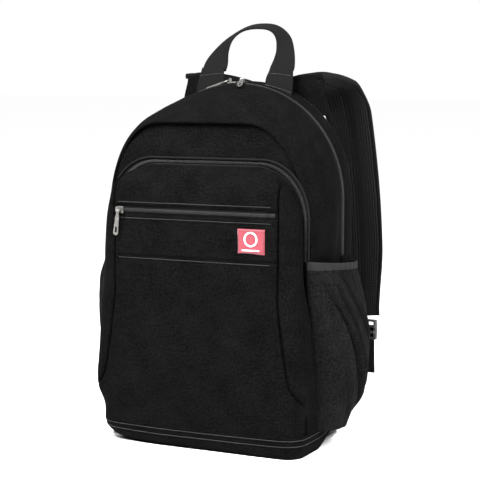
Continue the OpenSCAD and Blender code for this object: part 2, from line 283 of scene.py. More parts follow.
def lining_material():
    n = Nodes("lining")
    where = n.solid_place()
    crease = n.noise(where, 60, 5.0)
    fine = n.noise(where, 1200)
    height = n.plus(crease, n.times(fine, 0.3))
    # Painted shade: the crease noise that raises the bumps also paints their low places darker.
    return n.surface(n.mix(crease, grey(0.09), grey(0.15)), n.line(fine, 0.2, 0.5), height, 0.4, 0.8 * MM)


def label_material(name, low, high):
    """Damask weave: very fine diagonal yarns with a silky face."""
    n = Nodes(name, {"Sheen Weight": 0.15})
    where, x, y = n.cloth_place()
    twill = n.wave(n.plus(x, n.times(y, 0.6)), 0.7 * MM)
    # Painted shade: the twill's low lines are painted a little darker, with random yarn tone.
    share = n.plus(n.times(twill, 0.2), n.times(n.noise(where, 1500), 0.8))
    return n.surface(n.mix(share, low, high), 0.5, twill, 0.35, 0.15 * MM)


# ---------------------------------------------------------------- mesh helpers

def xyz(x, y, z):
    """Points from coordinates, each a number or an array that fits the others."""
    return np.stack(np.broadcast_arrays(x, y, z), axis=-1)


def unit(v):
    v = np.asarray(v, float)
    return v / np.maximum(np.linalg.norm(v, axis=-1, keepdims=True), 1e-12)


def smooth(t):
    t = np.clip(t, 0, 1)
    return t * t * (3 - 2 * t)


def bell(distance, width):
    """1 at no distance, falling smoothly to almost nothing at twice the width."""
    return np.exp(-(distance / width) ** 2)


def tangents(path):
    return unit(np.gradient(np.asarray(path, float), axis=0))


def lengths(points):
    """Running length along a path, or along each row of a grid."""
    steps = np.linalg.norm(np.diff(points, axis=-2), axis=-1)
    return np.concatenate([np.zeros(steps.shape[:-1] + (1,)), np.cumsum(steps, axis=-1)], axis=-1)


def at_length(points, run, where):
    """Points of a path at lengths along it."""
    return np.stack([np.interp(where, run, points[:, k]) for k in range(points.shape[1])], axis=-1)


def resample(points, count):
    points = np.asarray(points, float)
    run = lengths(points)
    return at_length(points, run, np.linspace(0, run[-1], count))


def with_directions(path, *directions):
    """A path and its directions as arrays; a lone direction holds all along the path."""
    path = np.asarray(path, float)
    return [path] + [np.broadcast_to(np.asarray(d, float), path.shape) for d in directions]


def wobble(points, scale, seed):
    """Smooth noise in -1..1 at each point."""
    shift = Vector((seed * 3.7, seed * 1.3, seed * 2.1))
    out = np.array([noise.noise(Vector(p) * scale + shift) for p in points.reshape(-1, 3)])
    return out.reshape(points.shape[:-1])


def vertex_normals(points):
    return unit(np.cross(np.gradient(points, axis=1), np.gradient(points, axis=0)))


def new_object(name, points, faces, uvs, material):
    mesh = bpy.data.meshes.new(name)
    mesh.from_pydata([tuple(p) for p in points], [], faces)
    if uvs is not None:
        layer = mesh.uv_layers.new(name="UVMap")
        index = np.empty(len(mesh.loops), np.int32)
        mesh.loops.foreach_get("vertex_index", index)
        layer.data.foreach_set("uv", np.asarray(uvs, np.float32)[index].ravel())
    mesh.polygons.foreach_set("use_smooth", [True] * len(mesh.polygons))
    mesh.materials.append(material)
    mesh.update()
    obj = bpy.data.objects.new(name, mesh)
    bpy.context.collection.objects.link(obj)
    return obj


def join(name, objects):
    """Joins objects into the first one."""
    bpy.ops.object.select_all(action="DESELECT")
    for obj in objects:
        obj.select_set(True)
    bpy.context.view_layer.objects.active = objects[0]
    bpy.ops.object.join()
    objects[0].name = name
    return objects[0]


def grid_faces(rows, columns, wrap=False):
    faces = []
    for i in range(rows - 1):
        for j in range(columns if wrap else columns - 1):
            a, b = i * columns + j, i * columns + (j + 1) % columns
            faces.append((a, b, b + columns, a + columns))
    return faces


def grid_uv(points):
    """Real-size UV of a grid: the length along a row from its middle, and the length down the columns."""
    u = lengths(points)
    u = u - u[:, u.shape[1] // 2][:, None]
    v = lengths(points.transpose(1, 0, 2)).T
    v = np.broadcast_to(v[:, v.shape[1] // 2][:, None], u.shape)
    return np.stack([u, v], axis=2)


def cloth(name, points, thickness, material, flip=False):
    """A closed sheet of cloth: a grid of points, and the same grid set back by its thickness."""
    rows, columns = points.shape[:2]
    back = points - vertex_normals(points) * (-thickness if flip else thickness)
    uv = grid_uv(points).reshape(-1, 2)
    count, last = rows * columns, (rows - 1) * columns
    faces = grid_faces(rows, columns)
    faces += [tuple(count + k for k in reversed(f)) for f in faces]
    loop = [*range(columns), *range(2 * columns - 1, count, columns),
            *range(count - 2, last - 1, -1), *range(last - columns, 0, -columns)]
    faces += [(b, a, count + a, count + b) for a, b in zip(loop, loop[1:] + loop[:1])]
    if flip:
        faces = [tuple(reversed(f)) for f in faces]
    verts = np.concatenate([points.reshape(-1, 3), back.reshape(-1, 3)])
    return new_object(name, verts, faces, np.concatenate([uv, uv]), material)


def swept(path, across, up, section):
    """Rings of points: the section's offsets along across and up, at each point of the path."""
    return path[:, None] + section[:, :1] * across[:, None] + section[:, 1:] * up[:, None]


def tube(name, rings, path, section, material, cap=True):
    """Skin over rings of points along a path."""
    rows, columns = rings.shape[:2]
    round_it = lengths(np.vstack([section, section[:1]]))[:columns]
    uv = np.stack(np.broadcast_arrays(lengths(path)[:, None], round_it), axis=2)
    faces = grid_faces(rows, columns, wrap=True)
    if cap:
        faces.append(tuple(reversed(range(columns))))
        faces.append(tuple(range((rows - 1) * columns, rows * columns)))
    return new_object(name, rings.reshape(-1, 3), faces, uv.reshape(-1, 2), material)


def sweep(name, path, across, up, section, material, cap=True):
    path, across, up = with_directions(path, across, up)
    return tube(name, swept(path, across, up, section), path, section, material, cap)


def oval(width, height, count=12, power=2.0):
    """Superellipse section, width by height."""
    turn = 2 * math.pi * np.arange(count) / count
    wave = np.column_stack([np.cos(turn), np.sin(turn)])
    return np.copysign(np.abs(wave) ** (2 / power), wave) * (width / 2, height / 2)


def add_rod(verts, faces, rings):
    """Adds a closed four-sided rod, through rings of (middle, one half axis, other half axis)."""
    start = len(verts)
    for middle, a, b in rings:
        verts += [middle - a, middle + b, middle + a, middle - b]
    faces += [tuple(start + k for k in f) for f in grid_faces(len(rings), 4, wrap=True)]
    faces.append((start + 3, start + 2, start + 1, start))
    faces.append(tuple(range(len(verts) - 4, len(verts))))


STITCH_PITCH, STITCH, THREAD = 3.4 * MM, 2.3 * MM, 0.65 * MM


def stitches(name, rows, material):
    """Rows of raised stitches; each row is a path and its normal."""
    verts, faces = [], []
    for path, normals in rows:
        path, normals = with_directions(path, normals)
        run = lengths(path)
        for s in np.arange(STITCH_PITCH / 2, run[-1] - STITCH_PITCH / 2, STITCH_PITCH):
            start, end = (at_length(path, run, s + d) for d in (-STITCH / 2, STITCH / 2))
            normal = unit(at_length(normals, run, s)) * THREAD / 2
            side = np.cross(normal, unit(end - start))
            shape = ((0, 0.35, 0), (0.25, 1, 0.7), (0.75, 1, 0.7), (1, 0.35, 0))
            add_rod(verts, faces, [(start + (end - start) * t + normal * rise, side * fat, normal * fat)
                                   for t, fat, rise in shape])
    return new_object(name, verts, faces, None, material)


def coil(name, path, across, up, material, pitch=1.5 * MM, width=5.2 * MM, height=1.5 * MM):
    """Closed coil zipper chain: a row of rounded loops across the path."""
    count = int(lengths(path)[-1] / pitch)
    path, across, up = (resample(a, count) for a in with_directions(path, across, up))
    shape = ((-0.5, 0.06), (-0.3, 0.48), (0, 0.6), (0.3, 0.48), (0.5, 0.06))
    verts, faces = [], []
    for p, a, u, t in zip(path, unit(across), unit(up), tangents(path)):
        add_rod(verts, faces, [(p + a * width * s + u * height * rise, t * pitch * 0.36, u * height * 0.3)
                               for s, rise in shape])
    return new_object(name, verts, faces, None, material)


# ---------------------------------------------------------------- outlines of the bag

def corner_outline(half_w, top, base, corner):
    """Half outline from the bottom right, up the side, round the corner, to the middle of the top."""
    corner_w, corner_h = corner
    turn = np.linspace(0, math.pi / 2, 49)[1:]
    centre = (half_w - corner_w, top - corner_h)
    arc = np.column_stack([np.cos(turn), np.sin(turn)]) * corner + centre
    return np.vstack([[(half_w, base), (half_w, top - corner_h)], arc, [(0, top)]])


def arch_half(radius, centre_z, base):
    return corner_outline(radius, centre_z + radius, base, (radius, radius))


def full_outline(half, count, left=None):
    """Whole outline, left bottom to right bottom, evenly spaced, with its middle at the top."""
    side = resample(half, count // 2 + 1)
    other = resample(half if left is None else left, count // 2 + 1) * [-1, 1]
    return np.concatenate([other, side[::-1][1:]])


def half_width(half, z):
    """Half width of an outline at heights z."""
    half = half[half[:, 0] > 1e-6]
    return np.interp(z, half[:, 1], half[:, 0])


FRONT_LEFT, FRONT_RIGHT = (corner_outline(HALF_W, FRONT_TOP, HEM_H, c) for c in FRONT_CORNERS)
ZIP_HALF = arch_half(ARCH_R, ARCH_Z, HEM_H)
BACK_HALF = arch_half(BACK_R, BACK_Z, HEM_H)
RIM_HALF = corner_outline(HALF_W - 10 * MM, ORGANISER_TOP - 9 * MM, HEM_H, ORGANISER_CORNER)


# ---------------------------------------------------------------- main compartment

def heights(top, span, rows, fine):
    """Heights of a panel's rows from the hem to its top, packed more closely in the last span."""
    packed = top - span * (1 - np.sin(np.linspace(0, math.pi / 2, fine + 1)))
    return np.concatenate([np.linspace(HEM_H, top - span, rows - fine), packed[1:]])


def shares(columns, pack):
    """Places across a panel, -1 to 1, packed more closely at its sides."""
    return np.sin(np.linspace(-1, 1, columns) * math.pi / 2 * pack) / math.sin(math.pi / 2 * pack)


def front_panel(mats):
    """Crowned front panel; its edge dips into the seam with the gusset."""
    z = heights(FRONT_TOP, 60 * MM, 130, 50)[:, None]
    across = shares(141, 0.92)
    half = np.where(across < 0, half_width(FRONT_LEFT, z), half_width(FRONT_RIGHT, z))
    x = across * half
    edge = np.minimum(half - np.abs(x), FRONT_TOP - z)
    y = PANEL_Y + 5 * MM * np.exp(-np.maximum(edge, 0) / (3 * MM)) - 2.5 * MM * smooth(edge / (60 * MM))
    y = y + 7 * MM * smooth((z - ORGANISER_TOP) / (FRONT_TOP - ORGANISER_TOP))
    points = xyz(x, y, z)
    points[..., 1] += wobble(points, 14, 3) * 2.0 * MM * smooth(edge / (25 * MM))
    panel = cloth("front_panel_cloth", points, CANVAS, mats["canvas"])
    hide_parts("front_panel")
    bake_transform(panel)


def gusset_points(rows, front, front_y, back, back_y, crown, crowd=1.0):
    t = np.linspace(0, 1, rows)[:, None, None] ** crowd
    outline = front[None] * (1 - t) + back[None] * t
    points = xyz(outline[..., 0], front_y * (1 - t[..., 0]) + back_y * t[..., 0], outline[..., 1])
    normal = vertex_normals(points)
    return points + normal * crown(t[..., 0])[..., None], normal


def gusset(mats):
    """Side and top cloth between the front panel and the main zipper."""
    rows, columns = 56, 361

    def crown(t):
        seams = 2.5 * MM * np.exp(-t / 0.02) + 2.0 * MM * np.exp(-(1 - t) / 0.05)
        return 8.5 * MM * np.sin(math.pi * np.clip(t, 0, 1)) ** 0.8 + 0.8 * MM * bell(t - 0.08, 0.05) - seams

    front = full_outline(FRONT_RIGHT, columns, FRONT_LEFT)
    back = full_outline(ZIP_HALF, columns)
    points, normal = gusset_points(rows, front, PANEL_Y + 0.5 * MM, back, ZIP_FRONT + 1.2 * MM, crown, 1.5)
    t = np.linspace(0, 1, rows)[:, None] ** 1.5
    points[..., 1] -= 3.0 * MM * bell(t - 0.016, 0.014)
    hold = np.sin(math.pi * t) ** 0.7
    low = smooth((POCKET_TOP + 20 * MM - points[..., 2]) / (60 * MM))
    folds = wobble(points * [1, 1.8, 1], 15, 5) * 3.6 * MM + wobble(points * [1, 1, 0.5], 36, 6) * 1.3 * MM
    points = points + normal * (hold * (folds - 7 * MM * low))[..., None]
    piece = cloth("gusset_cloth", points, CANVAS, mats["canvas"])
    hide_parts("gusset_left", "gusset_right", "lid_panel")
    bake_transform(piece)


def arch_path(offset, y):
    """Path round the main zipper's arch, from the left end to the right end, with its outward side."""
    outline = full_outline(arch_half(ARCH_R + offset, ARCH_Z, ZIP_END_Z), 260)
    path = xyz(outline[:, 0], y, outline[:, 1])
    out = unit(np.cross(FORWARD, tangents(path)))
    return path, out if out[len(out) // 2][2] > 0 else -out


def main_zipper(mats):
    middle = (ZIP_FRONT + ZIP_BACK) / 2
    tapes = []
    for name, shift in (("front", -3.6), ("back", 3.6)):
        path, out = arch_path(-1.4 * MM, middle + shift * MM)
        section = oval(6.4 * MM, 1.1 * MM, 12, 4)
        tapes.append(sweep("main_zipper_%s_tape" % name, path, -FORWARD, out, section, mats["tape"]))
    front, back = tapes
    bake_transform(front)
    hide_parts("main_zipper")
    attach(back, "bag")
    path, out = arch_path(-1.2 * MM, middle)
    chain = coil("main_zipper_coil", path, -FORWARD, out, mats["coil"])
    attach(chain, "bag")


def back_gusset(mats):
    rows, columns = 24, 321

    def crown(t):
        seams = 1.5 * MM * np.exp(-t / 0.06) + 2.5 * MM * np.exp(-(1 - t) / 0.08)
        return 1.0 * MM * np.sin(math.pi * t) - seams

    points, normal = gusset_points(rows, full_outline(ZIP_HALF, columns), ZIP_BACK - 1 * MM,
                                   full_outline(BACK_HALF, columns), BACK_Y - 1 * MM, crown)
    hold = np.sin(math.pi * np.linspace(0, 1, rows))[:, None]
    points = points + normal * (hold * wobble(points, 26, 8) * 1.4 * MM)[..., None]
    piece = cloth("back_gusset_cloth", points, CANVAS, mats["canvas"])
    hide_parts("back_gusset")
    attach(piece, "bag")


def lower_side_fill(mats):
    """The plain stretch of side cloth under the zipper's ends."""
    for s, side in ((-1, "left"), (1, "right")):
        z = np.linspace(HEM_H, ZIP_END_Z + 4 * MM, 40)
        y = np.linspace(ZIP_FRONT - 1 * MM, ZIP_BACK + 1 * MM, 8)
        points = xyz(s * (ARCH_R - 0.6 * MM), y, z[:, None])
        piece = cloth("side_strip_" + side, points, 1.4 * MM, mats["canvas"], flip=s > 0)
        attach(piece, "bag")


def back_panel(mats):
    top = BACK_Z + BACK_R
    z = heights(top, 70 * MM, 90, 40)[:, None]
    half = half_width(BACK_HALF, z)
    x = shares(81, 0.9) * half
    edge = np.minimum(half - np.abs(x), top - z)
    y = BACK_Y - 4 * MM * np.exp(-np.maximum(edge, 0) / (5 * MM))
    points = xyz(x, y, z)
    points[..., 1] += wobble(points, 12, 9) * 1.2 * MM * smooth(edge / (25 * MM))
    panel = cloth("back_panel_mesh", points, 2.0 * MM, mats["mesh"], flip=True)
    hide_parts("back_panel")
    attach(panel, "bag")


# ---------------------------------------------------------------- organiser pocket

def rim_width(z):
    """Half width of the organiser's rim: the full front below, narrower inside the arc zipper."""
    low = smooth((FOLD_Z - 8 * MM - z) / (70 * MM))
    return half_width(RIM_HALF, np.maximum(z, FOLD_Z)) * (1 - low) + (HALF_W - 1 * MM) * low


def princess_x(z):
    """Half distance between the princess seams: straight, and curving out towards the hem."""
    low = np.clip((200 * MM - z) / (140 * MM), 0, 1)
    return SEAM_X + 18 * MM * low + 18 * MM * low ** 8


def clustered(low, high, count, places, width, share):
    """Values from low to high, packed more closely round the given places."""
    fine = np.linspace(low, high, 4000)
    density = np.ones(4000)
    for place in places:
        density += share * bell(fine - place, width)
    run = np.cumsum(density)
    return np.interp(np.linspace(run[0], run[-1], count), run, fine)


def organiser(mats):
    """One cloth: the flat face, the puffed side panels and the rounded top, with their seams."""
    top, bottom = ORGANISER_TOP - 9 * MM, HEM_H - 2 * MM
    dense = (FRONT_ZIP_Z - 7 * MM, FRONT_ZIP_Z + 7 * MM, FOLD_Z, top)
    z = clustered(bottom, top, 220, dense, 5 * MM, 3)[:, None]
    z[0], z[-1] = bottom, top
    seam_u = 0.74                  # the princess seams' place across the cloth
    u = clustered(-1, 1, 261, (-seam_u, seam_u, -1, 1), 0.03, 4)
    u = (u - u[::-1]) / 2
    wide = rim_width(z)
    seam_x = np.minimum(princess_x(z), wide - 4 * MM)
    over = (np.abs(u) - seam_u) / (1 - seam_u)
    x = np.where(over < 0, np.abs(u) / seam_u * seam_x, seam_x + (wide - seam_x) * over) * np.sign(u)

    # The form: the cloth stands up from the rim, to a flat face with a belly
    low = smooth((100 * MM - z) / (60 * MM))
    side = np.clip(1 - over, 0, 1) * (1 - low) + np.clip((wide - np.abs(x)) / (24 * MM), 0, 1) * low
    up = (top - z) / (46 * MM)
    stand = np.sin(np.clip(np.minimum(side, up), 0, 1) * math.pi / 2) ** 0.8
    inner = smooth(stand / 0.9)
    belly = (1.0 + 7.5 * smooth((215 * MM - z) / (130 * MM))) * MM
    y = RIM_Y - (RIM_Y - FACE_Y - 1.5 * MM) * stand - belly * inner * np.cos(x / HALF_W * math.pi / 2)

    # Slack, and slanting pulls
    slack = xyz(x, y, z)
    y = y - inner * (wobble(slack, 11, 11) * 2.0 * MM + wobble(slack * [1, 1, 0.6], 30, 12) * 1.0 * MM)
    pull = xyz(x + 0.9 * z, y, 0.3 * (z - 0.9 * x))
    y = y - inner * wobble(pull, 34, 17) * 1.1 * MM

    # The princess seams, the front zipper's band and the fold
    gap = np.abs(x) - seam_x
    in_seam = smooth((top - 12 * MM - z) / (12 * MM))
    y = y + in_seam * (4.6 * MM * bell(gap, 1.0 * MM) - 1.1 * MM * bell(np.abs(gap) - 4 * MM, 3 * MM))
    off = np.abs(z - FRONT_ZIP_Z)
    zip_dip = 1.9 * MM * np.exp(-(off / (6.4 * MM)) ** 8) - 1.2 * MM * bell(off - 8.6 * MM, 1.8 * MM)
    fold_dip = 1.2 * MM * bell(z - FOLD_Z, 1.2 * MM) - 0.8 * MM * bell(z - FOLD_Z - 4 * MM, 2.6 * MM)
    y = y + smooth(-gap / (2.5 * MM)) * inner * (zip_dip + fold_dip)
    over_lining = (np.abs(x) < 104 * MM) & (z > FOLD_Z - 4 * MM) & (z < FRONT_ZIP_Z + 14 * MM)
    y = np.where(over_lining, np.minimum(y, FACE_Y + 2.2 * MM), y)

    # The side panels puff out, and wrap back round the bag's side near the hem
    puff = np.sin(math.pi * np.clip(side, 0, 1) ** 0.8) * (1 - 0.6 * low)
    x = x + np.sign(x) * 11 * MM * puff * smooth((top + 10 * MM - z) / (130 * MM))
    z = z + 3.5 * MM * np.sin(math.pi * np.clip(up, 0, 1)) * smooth(side)
    y = y + side_wrap(z) * np.clip((over - 0.62) / 0.38, 0, 1) ** 1.3
    x = x - np.sign(x) * 3 * MM * np.exp(-(1 - over) / 0.05) * smooth((FOLD_Z - z) / (40 * MM))
    points = xyz(x, y, z)
    piece = cloth("organiser_cloth", points, 1.5 * MM, mats["canvas"])
    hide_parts("organiser_flap", "organiser_lower")
    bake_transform(piece)
    return points


def side_wrap(z):
    """How far the organiser's cloth runs back round the side, more towards the hem."""
    return 24 * MM * smooth((225 * MM - z) / (170 * MM))


def surface_lookup(points):
    """Returns y of a face grid at (x, z)."""
    z = points[:, points.shape[1] // 2, 2]

    def at(x, zz):
        out = []
        for a, b in zip(np.atleast_1d(x), np.atleast_1d(zz)):
            i = int(np.clip(np.searchsorted(z, b), 1, len(z) - 1))
            t = (b - z[i - 1]) / (z[i] - z[i - 1])
            y0 = np.interp(a, points[i - 1, :, 0], points[i - 1, :, 1])
            y1 = np.interp(a, points[i, :, 0], points[i, :, 1])
            out.append(y0 * (1 - t) + y1 * t)
        return np.array(out)

    return at


def on_face(at, x, z, lift):
    """Points on the face at height z, lifted off it."""
    return xyz(x, at(x, np.full(len(x), z)) - lift, z)


def face_stitching(at, mats):
    ends = SEAM_X - 6 * MM
    x = np.linspace(-ends, ends, 90)
    rows = []
    for z in (FRONT_ZIP_Z + 10.5 * MM, FRONT_ZIP_Z - 10.5 * MM, FOLD_Z - 3.0 * MM):
        rows.append((on_face(at, x, z, 0.1 * MM), FORWARD))
    upper = stitches("face_stitching", rows, mats["thread"])
    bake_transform(upper)


def front_zipper(at, mats):
    ends = SEAM_X - 4 * MM
    x = np.linspace(-ends, ends, 120)
    path = on_face(at, x, FRONT_ZIP_Z, 0.2 * MM)
    tape = sweep("front_zipper_tape", path, UPWARD, FORWARD, oval(7.5 * MM, 0.9 * MM, 12, 4), mats["tape"])
    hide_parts("front_zipper")
    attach(tape, "organiser_flap")
    path = path + FORWARD * 0.4 * MM
    chain = coil("front_zipper_coil", path, UPWARD, FORWARD, mats["coil"], 1.3 * MM, 4.4 * MM, 1.3 * MM)
    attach(chain, "organiser_flap")


def rim_path(inset, y):
    """Path round the organiser's rim, with its direction across."""
    half = corner_outline(HALF_W - 2 * MM - inset, ORGANISER_TOP - inset, FOLD_Z, ORGANISER_CORNER)
    outline = full_outline(half, 240)
    path = xyz(outline[:, 0], y, outline[:, 1])
    return path, unit(np.cross(FORWARD, tangents(path)))


def organiser_zipper(mats):
    path, across = rim_path(5.2 * MM, RIM_Y + 1.2 * MM)
    tape = sweep("organiser_zipper_tape", path, across, FORWARD, oval(11 * MM, 1.2 * MM, 12, 4), mats["tape"])
    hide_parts("organiser_zipper")
    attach(tape, "bag")
    path = path + FORWARD * 0.7 * MM
    chain = coil("organiser_zipper_coil", path, across, FORWARD, mats["coil"], 1.4 * MM, 4.6 * MM, 1.3 * MM)
    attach(chain, "bag")
    cords = []
    for name, inset in (("organiser_piping_outer", 0.2 * MM), ("organiser_piping_inner", 9.4 * MM)):
        path, across = rim_path(inset, RIM_Y - 0.6 * MM)
        cords.append(sweep(name, path, across, FORWARD, oval(3.0 * MM, 2.8 * MM), mats["piping"]))
    outer, inner = cords
    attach(outer, "bag")
    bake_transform(inner)


def label(at, mats):
    low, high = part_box("label")
    x, z = np.meshgrid(np.linspace(low.x, high.x, 33), np.linspace(low.z, high.z, 29))
    base = at(x.ravel(), z.ravel()).reshape(x.shape)
    base = base * 0.3 + base.mean() * 0.7
    edge = np.minimum.reduce([x - low.x, high.x - x, z - low.z, high.z - z])
    y = base - 0.9 * MM * smooth(edge / (2.2 * MM)) - 0.3 * MM
    patch = cloth("label_patch", xyz(x, y, z), 0.8 * MM, mats["label"])
    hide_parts("label")
    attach(patch, "organiser_flap")
    cx, cz = (low.x + high.x) / 2, (low.z + high.z) / 2
    face_y = float(y.min()) - 0.25 * MM
    turn = np.linspace(0, 2 * math.pi, 49)
    out = xyz(np.cos(turn), 0, np.sin(turn))
    ring = out * 8.5 * MM + (cx, face_y, cz + 3 * MM)
    white = mats["label_white"]
    mark = sweep("label_mark_ring", ring, out, FORWARD, oval(2.2 * MM, 0.5 * MM, 8), white, cap=False)
    bar = xyz(np.linspace(cx - 12 * MM, cx + 12 * MM, 13), face_y, cz - 11 * MM)
    line = sweep("label_mark_bar", bar, UPWARD, FORWARD, oval(1.8 * MM, 0.5 * MM, 8), white)
    mark = join("label_mark", [mark, line])
    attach(mark, "organiser_flap")
    inset = 1.5 * MM
    left, right, bottom, top = low.x + inset, high.x - inset, low.z + inset, high.z - inset
    outline = resample([(left, bottom), (right, bottom), (right, top), (left, top), (left, bottom)], 120)
    path = xyz(outline[:, 0], face_y + 0.3 * MM, outline[:, 1])
    border = stitches("label_stitching", [(path, FORWARD)], mats["thread_red"])
    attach(border, "organiser_flap")


# ---------------------------------------------------------------- base and hem

def footprint_path(count):
    """Round the base from the middle of the back, clockwise seen from above; closed."""
    right_r, left_r, back_r = 24 * MM, 36 * MM, 26 * MM
    corners = ((1, 1, back_r, 90), (1, -1, right_r, 0), (-1, -1, left_r, -90), (-1, 1, back_r, 180))
    points = [(0, BACK_Y)]
    for side, back, radius, start in corners:
        cx = side * (HALF_W - radius)
        cy = BACK_Y - radius if back > 0 else FACE_Y + radius
        for turn in np.radians(np.linspace(start, start - 90, 17)):
            points.append((cx + radius * math.cos(turn), cy + radius * math.sin(turn)))
    points.append((0, BACK_Y))
    return resample(points, count)


def base_and_hem(mats):
    """Hem band that rolls under into the base; the base's corners lift, most at the back."""
    rows, columns = 26, 361
    foot = footprint_path(columns)
    foot[-1] = foot[0]
    along = np.gradient(foot, axis=0)
    along[0] = along[-1] = along[0] + along[-1]
    outward = unit(np.stack([-along[:, 1], along[:, 0]], axis=1))
    outward *= np.sign(np.sum(outward * foot, axis=1))[:, None]
    share = np.abs(foot[:, 0] / HALF_W)
    lift = 19 * MM * smooth((foot[:, 1] + 20 * MM) / (60 * MM)) * share ** 3
    lift = lift + 8 * MM * share ** 4 * (foot[:, 0] < 0)
    grids = []
    for t in np.linspace(0, 1, rows):
        roll = (1 - math.sin(min(t / 0.7, 1) * math.pi / 2)) ** 1.2
        tuck = 12.0 * MM * (1 - 0.65 * smooth(foot[:, :1] / HALF_W)) * roll
        seam = 0.8 * MM * bell(t - 0.98, 0.05)
        ring = foot + outward * (0.4 * MM - tuck - seam)
        ring[:, 1] -= np.where(foot[:, 1] < RIM_Y, 7 * MM * np.cos(foot[:, 0] / HALF_W * math.pi / 2), 0)
        grids.append(np.column_stack([ring, HEM_H * t + (lift + 1.5 * MM) * (1 - t)]))
    points = np.stack(grids)
    bulge = wobble(points, 16, 14) * 1.6 * MM * np.sin(math.pi * np.linspace(0, 1, rows))[:, None]
    points[..., :2] += outward[None] * bulge[..., None]
    points[:, -1] = points[:, 0]
    inside_out = bool(np.sum(vertex_normals(points)[rows // 2, :, :2] * outward) < 0)
    band = cloth("hem_band_cloth", points, 1.5 * MM, mats["canvas"], flip=inside_out)
    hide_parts("hem_band")
    rings = [points[0] * [k, k, k ** 3] + [0, 0, 0.5 * MM * (1 - k)] for k in np.linspace(1, 0.03, 14)]
    base = cloth("base_cloth", np.stack(rings), -2.4 * MM, mats["canvas"])
    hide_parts("base_panel")
    normals = np.column_stack([outward, np.zeros(columns)])
    lines = [(points[i] + normals * 0.9 * MM, normals) for i in (15, 22)]
    thread = stitches("hem_stitching", lines, mats["thread"])
    for piece in (band, base, thread):
        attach(piece, "bag")


# ---------------------------------------------------------------- side pockets

def side_pocket(side, mats):
    s = -1 if side == "left" else 1
    low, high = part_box("side_pocket_" + side)
    out = max(abs(low.x), abs(high.x)) - HALF_W
    z = np.linspace(HEM_H - 1 * MM, POCKET_TOP - ELASTIC_H + 1 * MM, 110)[:, None]
    u = np.linspace(0, 1, 121)                     # back along the side
    v = (z - z[0]) / (z[-1] - z[0])                # up the side
    front = RIM_Y - 1 * MM + side_wrap(z)
    y = front + (BACK_Y - 6 * MM - front) * u
    base_x = HALF_W - 1 * MM + (BACK_R + 1 * MM - HALF_W) * u
    belly = np.sin(math.pi * np.clip(v * 0.80 + 0.10, 0, 1)) ** 0.8
    round_y = (1 - np.abs(2 * u - 1) ** 3.2).clip(0, 1) ** 0.6
    bulge = out * round_y * (0.30 + (0.98 if s > 0 else 0.92) * belly)
    bulge *= 1 - 0.9 * smooth((u - 0.35) / 0.6) * smooth((0.25 - v) / 0.25)
    gather = v ** 1.3
    fan = np.sin((u - 0.05) * 2 * math.pi * 9 + 1.6 * np.sin(2.4 * v)) * 0.9 * MM * gather ** 3
    fall = np.sin(math.pi * v.clip(0, 1)) ** 0.6
    down = 1 - v

    def crease(start, slope, bend, width, depth):
        at = u - (start + slope * down ** bend)
        return depth * MM * (bell(at, width) - 0.55 * bell(at - 1.9 * width, 1.3 * width))

    deep = crease(0.06, 0.62, 1.1, 0.026, 11.5) * fall
    wide = crease(0.30, 1.05, 1.0, 0.035, 6.0) * smooth((v - 0.30) / 0.35) * fall
    wide += crease(0.02, 0.30, 1.0, 0.035, 5.0) * fall + crease(0.16, 0.85, 1.2, 0.028, 7.0) * fall * v
    x = base_x + bulge + (fan - deep - wide) * round_y - 3.5 * MM * np.exp(-u / 0.03)
    points = xyz(s * x, y, z)
    points[..., 0] += s * wobble(points, 24, 20 + s) * 1.4 * MM * round_y
    points[..., 2] -= POCKET_DROP * u * v ** 1.5
    # The side pockets' cloth is the brighter canvas copy: painted light for the key lamp on this side.
    piece = cloth("side_pocket_cloth_" + side, points, 1.2 * MM, mats["canvas_soft_painted_light"], flip=s > 0)
    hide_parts("side_pocket_" + side)
    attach(piece, "bag")
    path = resample(points[-1], 80)
    path[:, 2] += ELASTIC_H / 2 - 1 * MM - 1.5 * MM * np.sin(math.pi * np.linspace(0, 1, 80))
    outward = unit(np.cross(tangents(path), UPWARD)) * s
    outward *= np.sign(outward[40][0] * s)
    section = oval(2.2 * MM, ELASTIC_H, 16, 5)
    band = sweep("pocket_elastic_band_" + side, path, outward, UPWARD, section, mats["elastic"])
    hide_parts("pocket_elastic_" + side)
    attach(band, "bag")


# ---------------------------------------------------------------- handle

LEAN = 42 * MM          # how far back the handle's top leans


def haul_handle(mats):
    low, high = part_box("haul_handle")
    half = 51 * MM
    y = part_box("handle_anchor_left")[0].y + 12 * MM
    foot_z, top = low.z, high.z
    count = 90
    turn = np.linspace(math.pi, 0, count)
    rise = np.abs(np.sin(turn)) ** 0.88
    x = half * np.copysign(np.abs(np.cos(turn)) ** 0.80, np.cos(turn))
    path = resample(xyz(x, y + LEAN * rise, foot_z + (top - foot_z - 4 * MM) * rise), count)
    along = tangents(path)
    lift = ((path[:, 2] - foot_z) / (top - foot_z))[:, None]
    twist = smooth((lift - 0.15) / 0.75) * math.radians(74)
    across = unit(np.sin(twist) * -FORWARD - np.cos(twist) * unit(np.cross(along, FORWARD)))
    up = unit(np.cross(along, across))
    across = across * (1 + 0.46 * smooth((0.50 - lift) / 0.46))
    strap = sweep("haul_handle_webbing", path, across, up, oval(WEBBING_W, 3.2 * MM, 20, 5), mats["webbing"])
    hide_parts("haul_handle")
    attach(strap, "haul_handle")


